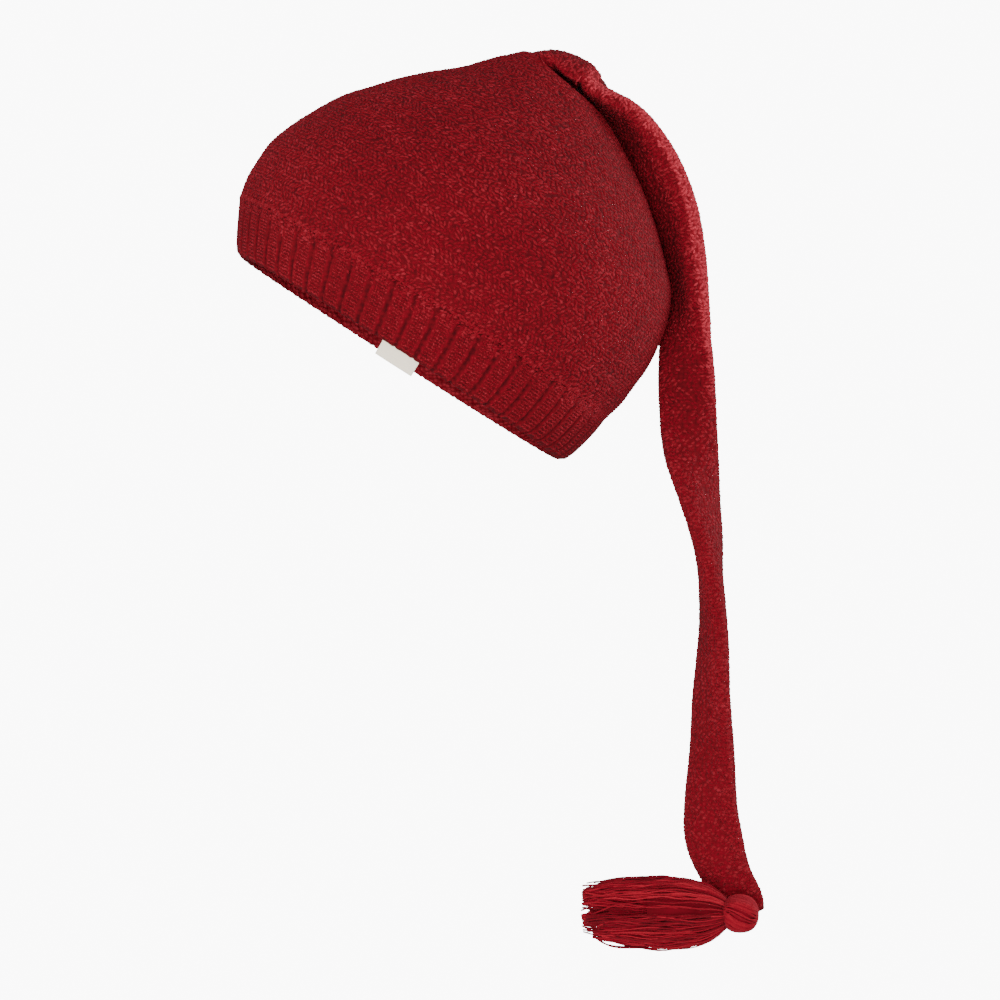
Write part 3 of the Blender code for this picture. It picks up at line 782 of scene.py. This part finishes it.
ball = bmesh.new()
ball_place = Matrix.Translation(ball_middle) @ Matrix.Diagonal((HEAD_WIDTH, HEAD_WIDTH, HEAD_HEIGHT, 1.0))
bmesh.ops.create_uvsphere(ball, u_segments=48, v_segments=32, radius=0.465, matrix=ball_place)
ball_mesh = bpy.data.meshes.new("tassel_head")
ball.to_mesh(ball_mesh)
ball.free()
ball_mesh.attributes.new("shade", "FLOAT", "POINT").data.foreach_set(
    "value", np.full(len(ball_mesh.vertices), 0.45)
)
shown("tassel_head", ball_mesh, yarn_wool, "tassel")

wrap_turn = np.arange(WRAP_COUNT) * (2 * math.pi / WRAP_COUNT) + 0.02 * dice.normal(size=WRAP_COUNT)
sweep = np.linspace(math.radians(176), math.radians(5), 15)
twist = 0.35 * dice.normal(size=WRAP_COUNT)[:, None] * np.sin(sweep)[None] + 0.5 * np.cos(sweep)[None]
half = np.array([HEAD_WIDTH * 1.07, HEAD_WIDTH, HEAD_HEIGHT * 0.97]) * 0.485
wrap_ways = np.stack(
    (
        np.broadcast_to(np.cos(sweep), (WRAP_COUNT, len(sweep))),
        np.sin(sweep) * np.cos(wrap_turn[:, None] + twist),
        np.sin(sweep) * np.sin(wrap_turn[:, None] + twist),
    ),
    axis=2,
)
wrap_routes = np.sign(wrap_ways) * np.abs(wrap_ways) ** BALL_SQUARENESS * half + ball_middle
wraps = strands(
    "tassel_head_strands",
    wrap_routes,
    np.full(WRAP_COUNT, 0.00036),
    0.62 + 0.08 * dice.normal(size=WRAP_COUNT),
    4,
)
shown("tassel_head_strands", wraps, yarn_wool, "tassel")

along = np.linspace(0.0, 1.0, STRAND_STEPS)
spread = np.array([blend_rows(STRAND_ROWS, "out", share)["spread"] for share in along])
lock_reach = np.sqrt((np.arange(LOCK_COUNT) + 0.5) / LOCK_COUNT) * 0.90
lock_turn = np.arange(LOCK_COUNT) * GOLDEN_TURN + 0.25 * dice.normal(size=LOCK_COUNT)
lock_middle = np.stack((np.cos(lock_turn), np.sin(lock_turn)), axis=1) * lock_reach[:, None]
lock_length = 1.0 - 0.12 * dice.random(LOCK_COUNT)
below = lock_middle[:, 1] < -0.45
lock_length[below] -= 0.20 * dice.random(below.sum())
lock_drift = 0.30 * dice.normal(size=(LOCK_COUNT, 2)) * (1.00 - lock_reach)[:, None]
lock_wave = dice.normal(size=(LOCK_COUNT, 4))
lock_tone = 0.56 + 0.09 * dice.normal(size=LOCK_COUNT)
lock = np.arange(STRAND_COUNT) % LOCK_COUNT
off_turn = dice.random(STRAND_COUNT) * 2 * math.pi
stray = np.arange(STRAND_COUNT) // LOCK_COUNT % 3 == 0
off_reach = (0.24 + 0.46 * stray) * np.sqrt(dice.random(STRAND_COUNT))
offset = np.stack((np.cos(off_turn), np.sin(off_turn)), axis=1) * off_reach[:, None]
length = FRINGE_LENGTH * lock_length[lock] * (1.0 - 0.07 * dice.random(STRAND_COUNT) ** 2)
closing = 1.0 - 0.55 * ramp(along, 0.72, 1.0) ** 2
cross = lock_middle[lock][:, None] + offset[:, None] * closing[None, :, None]
cross = cross + lock_drift[lock][:, None] * ramp(along, 0.1, 0.9)[None, :, None]
beyond = np.maximum(np.linalg.norm(cross, axis=2, keepdims=True), 1.0)
cross = cross / beyond * spread[None, :, None]
bends = []
for way in range(2):
    slow = along * (6.0 + 2.0 * lock_wave[lock, :1]) + 3.0 * lock_wave[lock, 1 + way][:, None]
    quick = along * (13.0 + 5.0 * dice.random((STRAND_COUNT, 1))) + 6.3 * dice.random((STRAND_COUNT, 1))
    bends.append(0.0007 * np.sin(slow) * along + 0.0006 * np.sin(quick) * ramp(along, 0.0, 0.35))
neck_x = ball_middle[0] - 0.36 * HEAD_WIDTH
fringe_y = ball_middle[1] + 0.0012
routes = np.stack(
    (
        neck_x - along[None] * length[:, None],
        fringe_y + cross[:, :, 0] * FRINGE_DEPTH / 2 + bends[0],
        ball_middle[2] + cross[:, :, 1] * FRINGE_HEIGHT / 2 + bends[1],
    ),
    axis=2,
)
loose_start = 0.30 + 0.25 * dice.random(LOOSE_COUNT)
loose_reach = 0.22 + 0.22 * dice.random(LOOSE_COUNT)
loose_rise = 0.0009 + 0.0008 * dice.random(LOOSE_COUNT)
loose = np.empty((LOOSE_COUNT, STRAND_STEPS, 3))
for number in range(LOOSE_COUNT):
    out = loose_start[number] + loose_reach[number] * along
    edge = np.array([blend_rows(STRAND_ROWS, "out", share)["spread"] for share in out])
    loose[number, :, 0] = neck_x - out * FRINGE_LENGTH
    loose[number, :, 1] = fringe_y + 0.004 * lock_wave[number, 0] * along
    rise = loose_rise[number] * np.sin(along * math.pi) - 0.0006
    loose[number, :, 2] = ball_middle[2] + edge * FRINGE_HEIGHT / 2 + rise
routes = np.concatenate((routes, loose))
radii = STRAND_THICKNESS / 2 * (1 + 0.12 * dice.normal(size=len(routes)))
radii[STRAND_COUNT:] *= 0.9
tones = np.concatenate((lock_tone[lock], np.full(LOOSE_COUNT, 0.55))) + 0.13 * dice.normal(size=len(routes))
# A darker core inside the fringe is painted shade between the strands, and it keeps the background from
# showing through them.
core_turns = np.arange(CORE_SIDES) * (2 * math.pi / CORE_SIDES)
core_sections = []
for row in STRAND_ROWS[:-2]:
    core = np.full((CORE_SIDES, 3), neck_x - row["out"] * FRINGE_LENGTH)
    core[:, 1] = fringe_y + np.cos(core_turns) * row["spread"] * FRINGE_DEPTH * 0.34
    core[:, 2] = ball_middle[2] + np.sin(core_turns) * row["spread"] * FRINGE_HEIGHT * 0.42
    core_sections.append(core)
core_bm = loft(CORE_SIDES, core_sections, closed=False)
shade_core_mesh = skin_mesh("tassel_painted_shade_core", core_bm, [0.35] * len(core_sections))
shown("tassel_painted_shade_core", shade_core_mesh, yarn_wool, "tassel")
fringe = strands("tassel_fringe", routes, radii, tones, 5)
shown("tassel_fringe", fringe, yarn_wool, "tassel")


# Label: one piece of cream woven tape, folded in half at the bottom and sewn inside the band.
# Only its folded end shows under the rim, bowed a little by the curve of the band. It is plain.
LABEL_WIDTH = 0.0224
LABEL_THICKNESS = 0.0012
LABEL_DROP = 0.0064
LABEL_ARCH = 0.0001
LABEL_INSIDE = 0.0130
LABEL_BACK = 0.004
LABEL_GAP = 0.0003
TAPE_TONES = ((0.0, (0.84, 0.74, 0.58)), (0.5, (1.0, 0.90, 0.71)), (1.0, (1.0, 0.95, 0.80)))
tape_middle = math.asin(LABEL_BACK / (RIM_LENGTH / 2)) - math.pi / 2
tape_half = LABEL_WIDTH / RIM_LENGTH
tape_turns = tape_middle + tape_half * np.linspace(-1, 1, 33)
tape_bow = LABEL_ARCH * np.linspace(-1, 1, 33) ** 2
TAPE_LOOP = (
    {"up": LABEL_INSIDE, "down": 0.00, "deep": 0.00},
    {"up": 0.0065, "down": 0.00, "deep": 0.00},
    {"up": 0.0, "down": 0.00, "deep": 0.00},
    {"up": 0.0, "down": 0.50, "deep": 0.00},
    {"up": 0.0, "down": 0.95, "deep": 0.06},
    {"up": 0.0, "down": 1.00, "deep": 0.35},
    {"up": 0.0, "down": 1.00, "deep": 0.65},
    {"up": 0.0, "down": 0.95, "deep": 0.94},
    {"up": 0.0, "down": 0.50, "deep": 1.00},
    {"up": 0.0, "down": 0.00, "deep": 1.00},
    {"up": 0.0065, "down": 0.00, "deep": 1.00},
    {"up": LABEL_INSIDE, "down": 0.00, "deep": 1.00},
    {"up": LABEL_INSIDE, "down": 0.00, "deep": 0.70},
    {"up": 0.0065, "down": 0.00, "deep": 0.70},
    {"up": 0.0, "down": 0.00, "deep": 0.70},
    {"up": 0.0, "down": 0.50, "deep": 0.70},
    {"up": 0.0, "down": 0.89, "deep": 0.66},
    {"up": 0.0, "down": 0.94, "deep": 0.50},
    {"up": 0.0, "down": 0.89, "deep": 0.34},
    {"up": 0.0, "down": 0.50, "deep": 0.30},
    {"up": 0.0, "down": 0.00, "deep": 0.30},
    {"up": 0.0065, "down": 0.00, "deep": 0.30},
    {"up": LABEL_INSIDE, "down": 0.00, "deep": 0.30},
)
tape_sections = []
for turn_at, bow in zip(tape_turns, tape_bow):
    section = []
    for row in TAPE_LOOP:
        share = np.array([row["up"] / BAND_HEIGHT])
        place, around, ahead, out = on_net(band_net, share, np.array([turn_at / (2 * math.pi)]))
        level = unit(out[0] - UP * (out[0] @ UP)) if row["up"] == 0.0 else out[0]
        inside = BAND_WALL + RIB_RELIEF / 3 + LABEL_GAP + row["deep"] * LABEL_THICKNESS
        section.append(place[0] - UP * (row["down"] * (LABEL_DROP - bow)) - level * inside)
    tape_sections.append(section)
label_bm = loft(len(TAPE_LOOP), tape_sections, closed=False)
label_mesh = skin_mesh("label", label_bm, [0.6] * 33)


def tape_material():
    """Woven tape: fine warp and weft from its own map, each thread a little light or dark."""
    material = bpy.data.materials.new("woven_tape")
    material.use_nodes = True
    nodes, links = material.node_tree.nodes, material.node_tree.links
    shader = nodes["Principled BSDF"]
    shader.inputs["Roughness"].default_value = 0.8
    shader.inputs["Specular IOR Level"].default_value = 0.25
    shader.inputs["Sheen Weight"].default_value = 0.2
    chart = nodes.new("ShaderNodeUVMap")
    chart.uv_map = "UVMap"
    waves = []
    for way, scale in (("X", 60.0), ("Y", 22.0)):
        wave = nodes.new("ShaderNodeTexWave")
        wave.bands_direction = way
        wave.inputs["Scale"].default_value = scale
        wave.inputs["Distortion"].default_value = 0.6
        links.new(chart.outputs["UV"], wave.inputs["Vector"])
        waves.append(wave.outputs["Fac"])
    mixed = nodes.new("ShaderNodeMath")
    mixed.operation = "MULTIPLY"
    links.new(waves[0], mixed.inputs[0])
    links.new(waves[1], mixed.inputs[1])
    tone = nodes.new("ShaderNodeMath")
    tone.operation = "MULTIPLY_ADD"
    links.new(mixed.outputs[0], tone.inputs[0])
    tone.inputs[1].default_value = 0.35
    tone.inputs[2].default_value = 0.42
    colours = nodes.new("ShaderNodeValToRGB")
    colours.color_ramp.elements.new(0.5)
    for element, (position, colour) in zip(colours.color_ramp.elements, TAPE_TONES):
        element.position = position
        element.color = (*colour, 1.0)
    links.new(tone.outputs[0], colours.inputs["Fac"])
    links.new(colours.outputs["Color"], shader.inputs["Base Color"])
    bump = nodes.new("ShaderNodeBump")
    bump.inputs["Strength"].default_value = 0.6
    bump.inputs["Distance"].default_value = 0.0002
    links.new(mixed.outputs[0], bump.inputs["Height"])
    links.new(bump.outputs["Normal"], shader.inputs["Normal"])
    return material


label = shown("label_tape", label_mesh, tape_material(), "label")


# The photo's view: level, from the hat's left side, in front of a plain white wall.
# Soft light comes from the front, a little from the left and from below, and from the right behind.
PIXEL = 0.000508
VIEW_WIDTH = 1000 * PIXEL
VIEW_MIDDLE = (0.04897, -0.07381)
CAMERA_AWAY = 1.3
CAMERA_LOWER = 0.014
SENSOR_WIDTH = 36.0
WALL_HALF = 2.0
WALL_AWAY = 3.0
SOFT_WHITE = (1.0, 0.98, 0.97)
wall_white = bpy.data.materials.new("wall_white")
wall_white.use_nodes = True
wall_shader = wall_white.node_tree.nodes["Principled BSDF"]
wall_shader.inputs["Base Color"].default_value = (0.95, 0.95, 0.95, 1.0)
wall_shader.inputs["Roughness"].default_value = 0.9
wall_shader.inputs["Emission Color"].default_value = (1.0, 1.0, 1.0, 1.0)
wall_shader.inputs["Emission Strength"].default_value = 9.0
wall_bm = bmesh.new()
bmesh.ops.create_grid(
    wall_bm,
    x_segments=1,
    y_segments=1,
    size=WALL_HALF,
    matrix=Matrix.Translation((0.05, WALL_AWAY, 0.0)) @ Matrix.Rotation(math.radians(90), 4, "X"),
)
wall_mesh = bpy.data.meshes.new("wall")
wall_bm.to_mesh(wall_mesh)
wall_bm.free()
wall_mesh.materials.append(wall_white)
wall = bpy.data.objects.new("wall", wall_mesh)
bpy.context.scene.collection.objects.link(wall)
wall.visible_diffuse = False
wall.visible_glossy = False
wall.visible_transmission = False
wall.visible_shadow = False


def lamp(name, place, target, size, power):
    """A square soft light, so many metres wide and watts strong, turned to its target."""
    light = bpy.data.lights.new(name, "AREA")
    light.size = size
    light.energy = power
    light.color = SOFT_WHITE
    item = bpy.data.objects.new(name, light)
    item.location = place
    item.rotation_euler = (Vector(target) - Vector(place)).to_track_quat("-Z", "Y").to_euler()
    bpy.context.scene.collection.objects.link(item)


MIDDLE = (0.05, 0.0, -0.03)
lamp("front_light", (-0.10, -1.6, -0.05), MIDDLE, 1.2, 33.0)
lamp("left_light", (-1.0, -0.7, 0.25), MIDDLE, 0.8, 5.0)
lamp("low_light", (0.0, -1.2, -0.9), MIDDLE, 0.8, 9.0)
lamp("right_light", (0.90, 0.25, 0.25), (0.15, 0.0, 0.0), 0.4, 11.0)
world = bpy.data.worlds.new("white_room")
world.use_nodes = True
world.node_tree.nodes["Background"].inputs["Color"].default_value = (1.0, 1.0, 1.0, 1.0)
world.node_tree.nodes["Background"].inputs["Strength"].default_value = 0.70
bpy.context.scene.world = world

camera_data = bpy.data.cameras.new("photo_camera")
camera_data.sensor_width = SENSOR_WIDTH
camera_data.lens = SENSOR_WIDTH * CAMERA_AWAY / VIEW_WIDTH
camera_data.clip_start = 0.05
camera_data.shift_y = CAMERA_LOWER / VIEW_WIDTH
camera = bpy.data.objects.new("photo_camera", camera_data)
camera.location = (VIEW_MIDDLE[0], -CAMERA_AWAY, VIEW_MIDDLE[1] - CAMERA_LOWER)
camera.rotation_euler = (math.radians(90), 0.0, 0.0)
bpy.context.scene.collection.objects.link(camera)
bpy.context.scene.camera = camera
